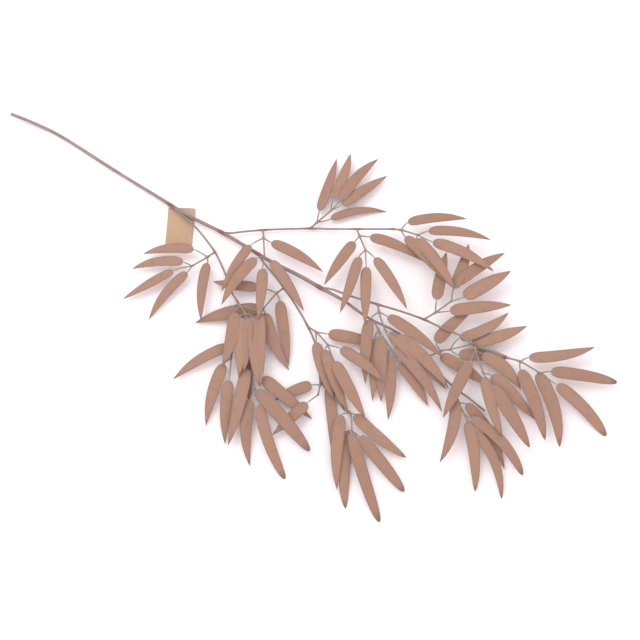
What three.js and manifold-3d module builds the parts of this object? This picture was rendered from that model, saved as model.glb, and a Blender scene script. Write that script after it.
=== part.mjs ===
// Bamboo leaf branch: a long bare stem with four side branches, sprays of narrow leaves on thin twigs,
// and a plain card tag under the stem. It lies on a surface, and rests on its stem and on leaf tips.
// Millimetres, +Z up, +X along the stem from the cut end to the leafy end.
import * as THREE from "three";
import { mergeVertices } from "three/addons/utils/BufferGeometryUtils.js";
import Module from "manifold-3d";

const wasm = await Module();
wasm.setup();

// Driving sizes
const BRANCH_WIDTH = 3.2;
const TWIG_WIDTH = 2.8;
const LEAF_STALK_WIDTH = 2.3;
const STALK_BEND = 0.25; // how far a stalk turns into its blade's line, as a share of its length
const LEAF_THICKNESS = 0.8;
const LEAF_ARCH = 0.05; // rise of a blade's middle, as a share of its length
const LEAF_ROLL = THREE.MathUtils.degToRad(8); // each blade leans down to its outer side
const SEAT_GAP = 0.3; // clearance between a twig or branch and what carries it
const TAG_WIDTH = 43.5;
const TAG_LENGTH = 67;
const TAG_THICKNESS = 0.8;

// Widths of the main stem: share of its length from the cut end, then millimetres
const STEM_WIDTHS = [
  [0, 5.4], [0.28, 5], [0.35, 5.5], [0.43, 5.8], [0.52, 5.4], [0.6, 6.2], [0.65, 6.4], [0.7, 4.8],
  [0.78, 3.8], [1, 3],
];

// Widths of the side branches, in the same way. The right branch ends thick, at its last spray.
const BRANCH_WIDTHS = [[0, BRANCH_WIDTH], [1, TWIG_WIDTH]];
const RIGHT_BRANCH_WIDTHS = [[0, BRANCH_WIDTH], [0.75, BRANCH_WIDTH], [0.95, 5.2], [1, 4.6]];

// The photograph's camera: a place in its picture, in pixels, and a height above the surface give a
// point of the branch.
const PICTURE_CENTRE = 320;
const LENS_LENGTH = 1100; // pixels
const CAMERA_DISTANCE = 1716; // to the aim point on the surface
const CAMERA_ELEVATION = THREE.MathUtils.degToRad(68);
const CAMERA_AZIMUTH = THREE.MathUtils.degToRad(34);
const AIM = new THREE.Vector3(87.26, -18.65, 0);

// Paths of the stems, from root to end: across and down in the picture, then height
const MAIN_STEM = [
  [11, 114, 13], [30, 121.5, 7], [50, 130.5, 2.4], [62, 137, 2.1], [80, 148, 2.7], [100, 161, 4],
  [120, 173.7, 5], [140, 186, 5.8], [160, 198.2, 6.4], [171, 205.3, 6.7], [190, 216.5, 7.4],
  [205, 224, 8.5], [222, 232.5, 10], [250, 249, 12], [258, 254, 12.5], [275, 263.6, 13],
  [300, 276, 14.5], [320, 287.5, 16], [330, 293, 17], [345, 301.5, 17.5], [360, 312.5, 17.5],
  [374, 321, 17.5], [392, 329.5, 17],
  [408, 340, 16], [426, 358, 15], [441, 375, 14], [455, 388, 12.5], [470, 399, 11], [485, 411, 9],
];
const LOWER_LEFT_BRANCH = [
  [171, 205.3, 6.7], [180, 213, 7.3], [188, 220, 8.5], [195, 226.5, 10], [204, 237, 11.5],
  [210, 245, 12], [215, 252, 12.5], [221, 264, 13], [226, 276, 14.5], [232, 293, 16], [238, 303, 17],
  [241, 316, 16], [240, 330, 14], [244, 345, 13], [249, 358, 12], [252, 368, 12],
];
const UPPER_BRANCH = [
  [222, 232.5, 10], [231, 233, 9.5], [245, 231.5, 8.5], [263, 230, 7.5], [285, 229, 6],
  [310, 228.5, 6], [335, 229, 8], [357, 229, 11], [375, 229, 15], [393, 229, 19],
];
const RIGHT_BRANCH = [
  [320, 287.5, 16], [331, 289, 19], [341, 292.5, 20], [352, 296.5, 21.5], [365, 300.5, 22.5],
  [378, 304.5, 22.5], [400, 311, 21.5], [424, 319.5, 21], [440, 327, 22.5], [458, 334.5, 24],
  [475, 345.5, 24.5], [491, 350.5, 23], [506, 357.5, 21],
];
const LOWER_MIDDLE_BRANCH = [
  [258, 254, 12.5], [264, 263, 11.5], [275, 276, 11.5], [284, 288, 12], [293, 301, 12],
  [301, 314, 12], [308, 327, 11], [315, 343, 9], [319, 361, 8], [320.5, 380, 8], [326, 389, 8],
  [335, 398, 8], [344, 409, 8.5],
];

// Sprays of leaves. root is where the twig leaves its branch, forks are the twig's two nodes, and each
// leaf is written as [fork it grows from, blade's base, blade's tip, sideways bow in mm, how blunt the
// tip is, share of the spray's leaf width], with places as across, down and height. A bow above 0 bends
// the blade's middle to its left, seen from its base. A tip is sharp where no bluntness is given, and
// fully blunt at 1.
const SPRAYS = {
  spray_by_tag: {
    branch: "lower_left_branch",
    leafWidth: 16,
    root: [215, 252, 12.5],
    forks: [[207.5, 257, 14], [192, 266, 15.5]],
    leaves: [
      [0, [193.5, 249.5, 17], [143, 254, 10], -4],
      [0, [207.5, 263, 15], [201, 321, 13], -3.5],
      [1, [183, 262, 16], [132, 269, 8], -5],
      [1, [187, 272.5, 14], [149, 319.5, 0.25], -4],
      [1, [173, 270.5, 14], [123, 299, 6], 1],
    ],
  },
  spray_over_stem: {
    branch: "upper_branch",
    leafWidth: 17.5,
    root: [263, 230, 7.5],
    forks: [[263.5, 238, 14], [264.5, 257, 24]],
    leaves: [
      [0, [250.5, 245.5, 21], [221.5, 291.5, 23], -2, 0, 0.9],
      [0, [271.5, 242.5, 19], [323, 272, 20], 2.5],
      [1, [256, 258.5, 26], [221.5, 305, 24], -4, 0, 1.03],
      [1, [271.5, 261, 26], [304, 311, 21], 0.5],
      [1, [262.5, 268.5, 27], [258, 320, 26], 1.5, 0, 1.03],
    ],
  },
  spray_top: {
    branch: "upper_branch",
    leafWidth: 18,
    root: [310, 228.5, 6],
    forks: [[317, 222.5, 8], [331, 210.5, 12]],
    leaves: [
      [0, [319.5, 210.5, 11], [336.8, 158.5, 6], -1.5, 0, 0.92],
      [0, [331, 219, 9], [387, 212, 0.25], 6.5, 0, 0.75],
      [1, [333.5, 198, 15], [350.5, 153.5, 9], -3],
      [1, [342.5, 204.5, 14], [387, 176, 5], -0.5, 0, 1.08],
      [1, [341, 199.5, 16], [378.5, 159, 8], 4],
    ],
  },
  spray_upper_middle: {
    branch: "upper_branch",
    leafWidth: 17.5,
    root: [357, 229, 11],
    forks: [[359.5, 236, 17], [365.5, 250, 25]],
    leaves: [
      [0, [354.5, 242, 22], [324, 285, 22], -0.5],
      [0, [370, 237, 22], [423, 261, 18], 4.5],
      [1, [359, 257, 27], [340, 313, 25], 1.5],
      [1, [375, 258, 27], [407, 309, 27], 1.5, 0, 0.97],
      [1, [366, 267, 28], [365, 325, 25], 0],
    ],
  },
  spray_upper_right: {
    branch: "upper_branch",
    leafWidth: 18,
    root: [393, 229, 19],
    forks: [[401, 230, 22], [418, 235, 28]],
    leaves: [
      [0, [408, 222.5, 25], [467, 219, 26], 3.5, 0, 0.9],
      [0, [405.5, 237, 25], [453, 288, 34], 1.5, 0, 1.05],
      [1, [428.5, 231, 32], [491, 240, 34], 4, 0, 0.88],
      [1, [417, 239, 30], [455, 290, 38], 2, 0, 1.05],
      [1, [433, 242, 33], [494, 271.5, 35], 4.5, 0, 1.03],
    ],
  },
  spray_right_branch: {
    branch: "right_branch",
    leafWidth: 18.5,
    root: [424, 319.5, 21],
    forks: [[435.5, 312.5, 22], [451.5, 301, 25]],
    leaves: [
      [0, [436.5, 299.5, 24], [446.5, 252, 24], 1, 0, 1.05],
      [0, [450, 311, 24], [511.5, 305, 20], 0, 0, 1.08],
      [1, [454, 288, 27], [468.5, 244, 24], -2.5],
      [1, [464, 297, 26], [511, 271, 22], -0.5, 0, 1.3],
      [1, [456, 283.5, 28], [505, 253, 24], 2, 0, 1.03],
    ],
  },
  spray_behind_right_branch: {
    branch: "main_stem",
    leafWidth: 18.5,
    root: [426, 358, 15],
    forks: [[441, 351, 15], [450, 349.5, 16]],
    leaves: [
      [0, [436.5, 342.5, 16], [471, 312, 14], 4.5, 0, 1.05],
      [1, [460, 338, 17], [508.5, 312.5, 14], -7],
      [1, [472, 344, 17], [527, 326, 13], -3, 0, 1.15],
      [1, [459, 355, 15], [508, 359, 10], 2],
      [0, [440.5, 355.5, 14], [490, 387, 9], 1, 0, 1.05],
    ],
  },
  spray_over_end: {
    branch: "right_branch",
    leafWidth: 18.5,
    root: [475, 345.5, 24.5],
    forks: [[475.5, 350, 24], [483, 373, 26]],
    leaves: [
      [0, [470, 362, 27], [443, 418, 24], -0.5, 0, 1.05],
      [0, [482.5, 354.5, 20], [521, 389.5, 13], 6, 0, 1.2],
      [1, [485, 377, 27], [502, 436, 24], -3.5, 0.5],
      [1, [491.5, 375.5, 22], [535.5, 420, 10], 1, 0, 1.08],
      [1, [492.5, 386, 28], [529.5, 447.5, 22], 0.5, 0.5, 1.15],
    ],
  },
  spray_right_end: {
    branch: "right_branch",
    leafWidth: 19.5,
    root: [506, 357.5, 21],
    forks: [[520, 361.5, 21], [540, 373, 22]],
    leaves: [
      [0, [529, 357.5, 22], [595, 347, 17], -6, 0, 0.97],
      [0, [520.5, 370, 22], [545, 440, 16], 3, 0.5, 1.03],
      [1, [551, 371.5, 22], [617, 382.5, 12], 0.5, 1, 0.95],
      [1, [537.5, 373, 21], [559.5, 447, 8], 7, 0.5, 1.05],
      [1, [557, 385, 21], [606, 436, 0.25], 3.5, 1],
    ],
  },
  spray_stem_end: {
    branch: "main_stem",
    leafWidth: 18.5,
    root: [455, 388, 12.5],
    forks: [[459, 403, 15], [465.5, 416, 17]],
    leaves: [
      [0, [456, 400.5, 18], [439.5, 463, 14], 6, 0, 0.97],
      [0, [466, 404, 15], [504.5, 469.5, 4], 7, 0, 0.95],
      [1, [467.5, 421.5, 17], [475, 491.5, 3], 4, 0.5, 0.95],
      [1, [471, 418, 19], [522.5, 475, 12], 9, 1, 0.93],
      [1, [475, 431, 17], [501.5, 499, 0.25], 9.5, 0.5, 0.8],
    ],
  },
  spray_middle: {
    branch: "right_branch",
    leafWidth: 18.5,
    root: [378, 304.5, 22.5],
    forks: [[379, 312, 22], [385, 330, 22.5]],
    leaves: [
      [0, [369.5, 320, 22], [365.5, 384, 14], -3],
      [0, [388, 316.5, 23], [443, 357.5, 22], 2],
      [1, [397, 336, 23.5], [449, 389, 19], 4, 0, 1.12],
      [1, [390, 332.5, 21.5], [447, 390, 13], -1],
      [1, [394.5, 346.5, 22], [442, 412, 14], 5.5],
    ],
  },
  spray_middle_lower: {
    branch: "main_stem",
    leafWidth: 18,
    root: [374, 321, 17],
    forks: [[378.5, 329.5, 18], [391, 349.5, 18]],
    leaves: [
      [0, [379.5, 336.5, 17], [381, 402, 7], 0, 0, 1.22],
      [0, [374.5, 339, 15], [372.5, 401, 5], 1, 0, 0.95],
      [1, [388.5, 354.5, 16], [388, 420, 4], 3],
      [1, [400, 363, 15], [428, 406, 7], 2],
    ],
  },
  spray_beside_pile: {
    branch: "lower_middle_branch",
    leafWidth: 18.5,
    root: [284, 288, 12],
    forks: [[277, 293, 12], [263, 309, 14]],
    leaves: [
      [0, [258, 287, 10], [213, 281.5, 8], 2.5, 0, 1.03],
      [0, [279.5, 301, 12], [288.5, 366, 4], 0],
      [1, [261, 309, 10], [195, 323, 4], -3, 0, 1.2],
      [1, [265, 313, 14], [289, 370, 5], -5.5, 0, 1.08],
      [1, [260.5, 316.5, 17], [255, 374, 10], 0],
    ],
  },
  spray_lower_middle: {
    branch: "lower_middle_branch",
    leafWidth: 18,
    root: [308, 327, 11],
    forks: [[316, 332, 13], [328, 345, 16]],
    leaves: [
      [0, [328.5, 334, 13], [383, 345.5, 6], 0.5, 0, 1.07],
      [0, [316.5, 342.5, 16], [334, 400, 13], -3, 0, 1.05],
      [1, [340.5, 348.5, 20], [384, 381.5, 22], 2],
      [1, [325, 350, 18], [348.5, 413, 14], -3, 0, 1.03],
      [1, [334.5, 361.5, 20], [365.5, 418.5, 18], -1, 0, 1.15],
    ],
  },
  spray_across: {
    branch: "lower_middle_branch",
    leafWidth: 17.5,
    root: [320.5, 380, 8],
    forks: [[320, 385, 10], [318, 395, 14]],
    leaves: [
      [0, [311.5, 385, 9], [275, 400, 5], -1, 0, 1.03],
      [1, [307, 403, 18], [272.5, 435, 8], 0.5, 0, 1.05],
      [0, [328.5, 385, 3], [336, 471, 2], 1, 0.3, 0.95],
    ],
  },
  spray_lower_end: {
    branch: "lower_middle_branch",
    leafWidth: 19,
    root: [344, 409, 8.5],
    forks: [[350, 413, 10], [352, 431, 13]],
    leaves: [
      [0, [354.5, 414.5, 12], [406, 457.5, 6], -4, 0.5],
      [0, [341.5, 415, 14], [337, 490, 10], -4],
      [1, [359.5, 436.5, 14], [404, 491.5, 4], 0, 1],
      [1, [348, 431, 8], [345.5, 508.5, 0.25], -4, 0.7],
      [1, [351.5, 432.5, 14], [379.5, 522, 0.25], -3, 1],
    ],
  },
  spray_pile_top: {
    branch: "lower_left_branch",
    leafWidth: 18,
    root: [238, 303, 17],
    forks: [[240, 306, 21], [245, 313, 25]],
    leaves: [
      [0, [234.5, 313, 22], [222, 366, 20], 5, 0, 1.2],
      [0, [259.5, 314, 23], [260.5, 388, 20], 0, 0, 1.05],
      [1, [239.5, 318, 24], [238.5, 378, 20], 2.5, 0, 1.1],
      [1, [254, 318.5, 25], [259, 387, 21], -3, 0, 1.05],
      [1, [246.5, 319, 26], [244, 372, 22], 1, 0, 1.15],
    ],
  },
  spray_pile_left: {
    branch: "lower_left_branch",
    leafWidth: 18,
    root: [240, 330, 14],
    forks: [[234, 345, 13], [231, 358, 13]],
    leaves: [
      [0, [228.5, 346, 13], [173, 379.5, 4], -3.5, 0, 0.95],
      [1, [224, 364, 13], [206, 426, 4], -3.5, 0, 1.03],
      [1, [229, 380.5, 12], [225, 444, 3], -2],
      [0, [243, 356, 7], [250, 402, 4], 0],
    ],
  },
  spray_pile_end: {
    branch: "lower_left_branch",
    leafWidth: 18.5,
    root: [252, 368, 12],
    forks: [[252, 374, 13], [254, 389, 15]],
    leaves: [
      [0, [246.5, 369, 17], [228, 446, 10], 2, 0, 1.1],
      [0, [262.5, 377.5, 14], [312, 419, 5], -1, 0, 1.12],
      [1, [250, 399.5, 15], [250, 466, 0.25], -6],
      [0, [256.5, 390.5, 16], [309.5, 451, 12], 1, 1, 1.15],
      [1, [259.5, 404.5, 17], [285, 479, 0.25], -5.5, 1, 0.97],
    ],
  },
};

// Place of the tag: the middles of its lower and upper edges
const TAG_LOWER_EDGE = [178.6, 246, 0.35];
const TAG_UPPER_EDGE = [182, 207, 3.7];

// A blade's outline: share of the length, then share of the full width where its tip is sharp and where
// it is blunt
const LEAF_OUTLINE = [
  [0, 0.15, 0.15], [0.03, 0.6, 0.6], [0.1, 0.9, 0.9], [0.3, 1, 1],
  [0.58, 0.86, 0.93], [0.83, 0.5, 0.7], [0.95, 0.2, 0.4], [1, 0.05, 0.16],
];

const STEM_COLOUR = "#9c8580";
const LEAF_COLOUR = "#b59280";
const TAG_COLOUR = "#d4b497";
const stemMaterial = new THREE.MeshStandardMaterial({ color: STEM_COLOUR, roughness: 0.7, metalness: 0 });
const leafMaterial = new THREE.MeshStandardMaterial({ color: LEAF_COLOUR, roughness: 0.85, metalness: 0 });
const tagMaterial = new THREE.MeshStandardMaterial({ color: TAG_COLOUR, roughness: 0.9, metalness: 0 });

const UP = new THREE.Vector3(0, 0, 1);
const PICTURE_RIGHT = new THREE.Vector3(Math.cos(CAMERA_AZIMUTH), Math.sin(CAMERA_AZIMUTH), 0);
const CAMERA_BACK = new THREE.Vector3(
  Math.sin(CAMERA_AZIMUTH) * Math.cos(CAMERA_ELEVATION),
  -Math.cos(CAMERA_AZIMUTH) * Math.cos(CAMERA_ELEVATION),
  Math.sin(CAMERA_ELEVATION),
);
const PICTURE_UP = CAMERA_BACK.clone().cross(PICTURE_RIGHT);
const LENS = AIM.clone().addScaledVector(CAMERA_BACK, CAMERA_DISTANCE);

// The point seen at a place of the picture, at a height above the surface.
function place([across, down, height]) {
  const ray = CAMERA_BACK.clone().negate();
  ray.addScaledVector(PICTURE_RIGHT, (across - PICTURE_CENTRE) / LENS_LENGTH);
  ray.addScaledVector(PICTURE_UP, (PICTURE_CENTRE - down) / LENS_LENGTH);
  const reach = (height - LENS.z) / ray.z;
  return LENS.clone().addScaledVector(ray, reach);
}

// The geometry as a closed solid of shared vertices.
function solidOf(geometry) {
  geometry.deleteAttribute("normal");
  geometry.deleteAttribute("uv");
  const merged = mergeVertices(geometry, 1e-4);
  return new wasm.Manifold(
    new wasm.Mesh({
      numProp: 3,
      vertProperties: merged.attributes.position.array,
      triVerts: new Uint32Array(merged.index.array),
    }),
  );
}

function geometryOf(solid) {
  const mesh = solid.getMesh();
  const geometry = new THREE.BufferGeometry();
  geometry.setAttribute("position", new THREE.BufferAttribute(mesh.vertProperties, 3));
  geometry.setIndex(new THREE.BufferAttribute(mesh.triVerts, 1));
  return geometry;
}

// A regular polygon, one unit wide, the cross-section of a stem.
function roundSection(sides) {
  const corners = [];
  for (let side = 0; side < sides; side += 1) {
    const turn = ((side + 0.5) / sides) * 2 * Math.PI;
    corners.push(new THREE.Vector2(Math.cos(turn) / 2, Math.sin(turn) / 2));
  }
  return new THREE.Shape(corners);
}

// The width at a share of the length, from a table of shares and widths.
function widthAt(widths, share) {
  const row = Math.max(widths.findIndex(([end]) => end >= share), 1);
  const [start, startWidth] = widths[row - 1];
  const [end, endWidth] = widths[row];
  return THREE.MathUtils.mapLinear(share, start, end, startWidth, endWidth);
}

// A round rod along a curve, with a table of its widths. It can overrun the curve at both ends.
function rod(curve, widths, sides, steps, overrun = 0) {
  const section = roundSection(sides);
  const geometry = new THREE.ExtrudeGeometry(section, { steps, extrudePath: curve, bevelEnabled: false });
  const rings = curve.getSpacedPoints(steps);
  const position = geometry.getAttribute("position");
  const corner = new THREE.Vector3();
  for (let index = 0; index < position.count; index += 1) {
    corner.fromBufferAttribute(position, index);
    const gaps = rings.map((centre) => centre.distanceToSquared(corner));
    const ring = gaps.indexOf(Math.min(...gaps));
    corner.sub(rings[ring]).multiplyScalar(widthAt(widths, ring / steps)).add(rings[ring]);
    if (ring === 0) corner.addScaledVector(curve.getTangent(0), -overrun);
    if (ring === steps) corner.addScaledVector(curve.getTangent(1), overrun);
    position.setXYZ(index, corner.x, corner.y, corner.z);
  }
  return solidOf(geometry);
}

function stemCurve(places) {
  return new THREE.CatmullRomCurve3(places.map(place), false, "centripetal");
}

// The middle line of a blade, arched upwards and bowed sideways.
function leafCurve(base, tip, bow) {
  const start = place(base);
  const end = place(tip);
  const along = end.clone().sub(start);
  const left = UP.clone().cross(along).normalize();
  const middle = start.clone().add(end).multiplyScalar(0.5);
  middle.addScaledVector(left, 2 * bow);
  middle.addScaledVector(UP, 2 * LEAF_ARCH * along.length());
  return new THREE.QuadraticBezierCurve3(start, middle, end);
}

// The rings of a leaf, from the fork of the twig along the stalk and then along the blade.
function leafRings(start, blade, fullWidth, bluntness) {
  const base = blade.getPoint(0);
  const bend = base.clone().addScaledVector(blade.getTangent(0), -STALK_BEND * base.distanceTo(start));
  const stalk = new THREE.QuadraticBezierCurve3(start, bend, base);
  const rings = [];
  for (const share of [0, 0.5]) {
    rings.push({ curve: stalk, share, width: LEAF_STALK_WIDTH, thickness: LEAF_STALK_WIDTH });
  }
  for (const [share, sharpWidth, bluntWidth] of LEAF_OUTLINE) {
    const width = THREE.MathUtils.lerp(sharpWidth, bluntWidth, bluntness) * fullWidth;
    rings.push({ curve: blade, share, width, thickness: LEAF_THICKNESS });
  }
  return rings;
}

// A leaf: a square bar whose rings are set along the stalk and blade, as wide and thick as the leaf is
// there.
function leaf([fork, base, tip, bow, bluntness = 0, widthShare = 1], forks, leafWidth) {
  const blade = leafCurve(base, tip, bow);
  const rings = leafRings(place(forks[fork]), blade, leafWidth * widthShare, bluntness);
  const roll = (Math.sign(bow) || 1) * LEAF_ROLL;
  const corners = [[-0.5, -0.5], [0.5, -0.5], [0.5, 0.5], [-0.5, 0.5]];
  const section = new THREE.Shape(corners.map(([x, y]) => new THREE.Vector2(x, y)));
  const steps = rings.length - 1;
  const geometry = new THREE.ExtrudeGeometry(section, { steps, depth: steps, bevelEnabled: false });
  const position = geometry.getAttribute("position");
  for (let index = 0; index < position.count; index += 1) {
    const ring = rings[Math.round(position.getZ(index))];
    const along = ring.curve.getTangent(ring.share);
    const left = UP.clone().cross(along).normalize().applyAxisAngle(along, roll);
    const over = along.clone().cross(left);
    const corner = ring.curve.getPoint(ring.share);
    corner.addScaledVector(left, position.getX(index) * ring.width);
    corner.addScaledVector(over, position.getY(index) * ring.thickness);
    position.setXYZ(index, corner.x, corner.y, corner.z);
  }
  return solidOf(geometry);
}

function spray({ leafWidth, root, forks, leaves }) {
  const twig = new THREE.CatmullRomCurve3([place(root), ...forks.map(place)]);
  let solid = rod(twig, [[0, TWIG_WIDTH], [1, LEAF_STALK_WIDTH]], 5, 5);
  for (const row of leaves) {
    solid = solid.add(leaf(row, forks, leafWidth));
  }
  return solid;
}

// Everything below the surface, which leaves small flat spots where the branch rests.
function belowSurface() {
  const depth = 10;
  const slab = new THREE.BoxGeometry(2000, 2000, depth);
  slab.translate(0, 0, -depth / 2);
  return solidOf(slab);
}

function tag() {
  const lower = place(TAG_LOWER_EDGE);
  const upper = place(TAG_UPPER_EDGE);
  const along = upper.clone().sub(lower).normalize();
  const across = along.clone().cross(UP).normalize();
  const card = new THREE.BoxGeometry(TAG_WIDTH, TAG_LENGTH, TAG_THICKNESS);
  card.translate(0, TAG_LENGTH / 2, 0);
  card.applyMatrix4(new THREE.Matrix4().makeBasis(across, along, across.clone().cross(along)));
  card.translate(lower.x, lower.y, lower.z);
  return solidOf(card);
}

const group = new THREE.Group();

function addPiece(name, solid, material) {
  const mesh = new THREE.Mesh(geometryOf(solid.subtract(belowSurface())), material);
  mesh.name = name;
  group.add(mesh);
}

const STEMS = {
  main_stem: { places: MAIN_STEM, widths: STEM_WIDTHS, sides: 8, steps: 44 },
  lower_left_branch: { places: LOWER_LEFT_BRANCH, widths: BRANCH_WIDTHS, sides: 6, steps: 26 },
  upper_branch: { places: UPPER_BRANCH, widths: BRANCH_WIDTHS, sides: 6, steps: 16 },
  right_branch: { places: RIGHT_BRANCH, widths: RIGHT_BRANCH_WIDTHS, sides: 6, steps: 20 },
  lower_middle_branch: { places: LOWER_MIDDLE_BRANCH, widths: BRANCH_WIDTHS, sides: 6, steps: 22 },
};

// A stem made larger all round by the seat gap, to cut the seat of what it carries.
function seatCutter({ places, widths, sides, steps }) {
  const wider = widths.map(([share, width]) => [share, width + 2 * SEAT_GAP]);
  return rod(stemCurve(places), wider, sides, steps, SEAT_GAP);
}

// The piece cut clear of its carrier. Slivers left on the carrier's far side are dropped.
function seated(solid, carrier) {
  const bodies = solid.subtract(seatCutter(carrier)).decompose();
  bodies.sort((one, other) => other.volume() - one.volume());
  return bodies[0];
}

for (const [name, stem] of Object.entries(STEMS)) {
  const solid = rod(stemCurve(stem.places), stem.widths, stem.sides, stem.steps);
  addPiece(name, name === "main_stem" ? solid : seated(solid, STEMS.main_stem), stemMaterial);
}
for (const [name, row] of Object.entries(SPRAYS)) {
  addPiece(name, seated(spray(row), STEMS[row.branch]), leafMaterial);
}
addPiece("tag", tag(), tagMaterial);

export default group;
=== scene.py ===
# Bamboo leaf branch: fine curved leaves, round twigs and stems, and a bare card tag, over the packed
# frame. Metres, +Z up, +X along the stem from its cut end to the leafy end.
import math
import random
from typing import NamedTuple

import bmesh
import bpy
from mathutils import Color, Matrix, Quaternion, Vector
from mathutils.geometry import interpolate_bezier


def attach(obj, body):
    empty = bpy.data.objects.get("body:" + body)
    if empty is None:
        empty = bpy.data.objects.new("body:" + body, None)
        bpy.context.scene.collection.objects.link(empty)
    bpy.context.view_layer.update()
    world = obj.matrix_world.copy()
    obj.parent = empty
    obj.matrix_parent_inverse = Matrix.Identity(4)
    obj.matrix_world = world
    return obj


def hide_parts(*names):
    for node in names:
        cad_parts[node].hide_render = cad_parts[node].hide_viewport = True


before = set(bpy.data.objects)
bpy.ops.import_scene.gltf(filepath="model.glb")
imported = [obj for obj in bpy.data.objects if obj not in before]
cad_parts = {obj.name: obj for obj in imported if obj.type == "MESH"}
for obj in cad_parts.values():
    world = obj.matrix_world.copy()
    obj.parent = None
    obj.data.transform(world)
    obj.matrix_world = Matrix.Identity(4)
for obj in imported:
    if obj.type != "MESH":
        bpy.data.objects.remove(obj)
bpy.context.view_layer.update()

MM = 0.001

# Driving sizes
BRANCH_WIDTH = 3.2 * MM
TWIG_WIDTH = 2.8 * MM
LEAF_STALK_WIDTH = 2.3 * MM
STALK_BEND = 0.25  # how far from its blade a stalk bends into the blade's line, as a share of the stalk
LEAF_ARCH = 0.05  # rise of a blade's middle, as a share of its length
LEAF_ROLL = math.radians(8)  # each blade leans down to its outer side
TAG_WIDTH = 43.5 * MM
TAG_LENGTH = 67 * MM

# Widths of the stems and twigs: share of the length from the root, then metres
STEM_WIDTHS = (
    (0, 5.4 * MM), (0.28, 5 * MM), (0.35, 5.5 * MM), (0.43, 5.8 * MM), (0.52, 5.4 * MM), (0.6, 6.2 * MM),
    (0.65, 6.4 * MM), (0.7, 4.8 * MM), (0.78, 3.8 * MM), (1, 3 * MM),
)
BRANCH_WIDTHS = ((0, BRANCH_WIDTH), (1, TWIG_WIDTH))
RIGHT_BRANCH_WIDTHS = ((0, BRANCH_WIDTH), (0.75, BRANCH_WIDTH), (0.95, 5.2 * MM), (1, 4.6 * MM))
TWIG_WIDTHS = ((0, TWIG_WIDTH), (1, LEAF_STALK_WIDTH))

# Outline of a blade: it widens over its rounded base, and then tapers. The two widths are shares of the
# blade's full width.
BLADE_BASE_SHARE = 0.21  # of its length
BLADE_BASE_SQUARENESS = 2.5  # 2 for an ellipse
BLADE_BASE_WIDTH = 0.1
BLADE_TAPER = 2.6  # more keeps it wide for longer
SHARP_TIP = 1.0  # power of the taper, and a lower one ends it bluntly
BLUNT_TIP = 0.45
BLADE_TIP_WIDTH = 0.02

# Finer sizes, below what the solids hold
BLADE_THICKNESS = 0.5 * MM
BLADE_DOME = 0.06  # fall of a blade's edges, as a share of its half width
BLADE_TWIST = math.radians(7)  # most that a blade turns either way from base to tip
BLADE_WAVE = 0.06  # rise and fall of a blade's edges, as a share of its half width
FEWEST_WAVES = 1  # along a blade
MOST_WAVES = 2.5
STALK_END_WIDTH = 0.9 * MM
STALK_SINK = 0.07  # how far a stalk runs on under its blade, as a share of the blade
TWIG_KNOT_SWELL = 0.7  # how much wider a twig is at its forks
TWIG_KNOT_REACH = 3.5 * MM
STEM_KNOT_SWELL = 0.2  # how much wider a stem is where something grows from it
STEM_KNOT_REACH = 7 * MM
STEM_UNEVENNESS = 0.05  # of its width
STEM_SHORT_WAVE = 0.37  # radians for each step along the stem
STEM_LONG_WAVE = 0.11
STEM_LONG_WAVE_START = 1  # radians, at the stem's root
TAG_THICKNESS = 0.5 * MM
TAG_SAG = 0.8 * MM
TAG_CREASE = 0.78  # place of the fold across the card, as a share of its width
TAG_FOLD = 0.5 * MM  # how far the folded strip's edge lies below the card

# How finely the pieces are divided
BLADE_ROWS = 30
BLADE_COLUMNS = 8
TAG_ROWS = 30
TAG_COLUMNS = 28
STEM_SIDES = 16
TWIG_SIDES = 10
STALK_SIDES = 8
STEM_STEPS = 10  # from one place of its path to the next
TWIG_STEPS = 8
STALK_STEPS = 5  # from the fork to the blade
SINK_STEPS = 3  # under the blade
SHARP_ANGLE = math.radians(50)  # between faces that are shaded apart
CHANCE_SEED = 7

# The photograph's camera: a place in its picture, in pixels, and a height above the surface, in
# millimetres, give a point of the branch.
PICTURE_SIZE = 640
PICTURE_CENTRE = PICTURE_SIZE / 2
LENS_LENGTH = 1100  # pixels
SENSOR_WIDTH = 36  # millimetres
CAMERA_DISTANCE = 1.716  # to the aim point on the surface
CAMERA_ELEVATION = math.radians(68)
CAMERA_AZIMUTH = math.radians(34)
AIM = Vector((0.08726, -0.01865, 0))

# Light: one lamp, and a sky that fills the shadows with a faint pink
LAMP_TO_THE_LEFT = 0.45  # of the picture, for each metre up
LAMP_TO_THE_BACK = 0.35
LAMP_DISTANCE = 2.6
LAMP_SIZE = 1.5
LAMP_POWER = 16  # watts
LAMP_COLOUR = (0.85, 1, 0.95)
SKY_COLOUR = (1, 0.89, 0.93, 1)
SKY_STRENGTH = 1.17
FLOOR_SHADE = 0.99  # of white
FLOOR_ROUGHNESS = 0.9
FLOOR_DROP = 0.2 * MM  # below the branch, to keep the two apart
FLOOR_HALF_WIDTH = 4

# Colours, as red, green and blue from 0 to 255
PINK_BROWN = (165, 133, 120)
WARM_BROWN = (165, 134, 111)
ORANGE_BROWN = (176, 128, 98)
OLIVE_BROWN = (152, 129, 107)
ROSE_BROWN = (172, 131, 117)
BLADE_SHADE = (142, 114, 99)
BLADE_EDGE = (128, 106, 93)
BLADE_TIP = (112, 103, 92)
TWIG_GREY = (142, 137, 130)
TWIG_PINK = (151, 135, 126)
TWIG_HUB = (165, 128, 106)
STEM_PINK = (160, 140, 139)
STEM_GREY = (142, 134, 130)
STEM_BROWN = (146, 118, 102)
STEM_RUST = (140, 106, 90)
STEM_KNOT = (128, 84, 56)
STEM_GREEN = (130, 128, 116)
CARD = (189, 162, 134)
CARD_STRIP = (192, 164, 141)
# Painted shade: the darker line in the card's crease
CARD_FOLD_SHADE = (168, 132, 104)
# Painted shade: the card's upper end, beyond the stem, greyed and darkened
CARD_UPPER_SHADE = (172, 157, 144)
CARD_FIBRE = (170, 136, 106)

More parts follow.
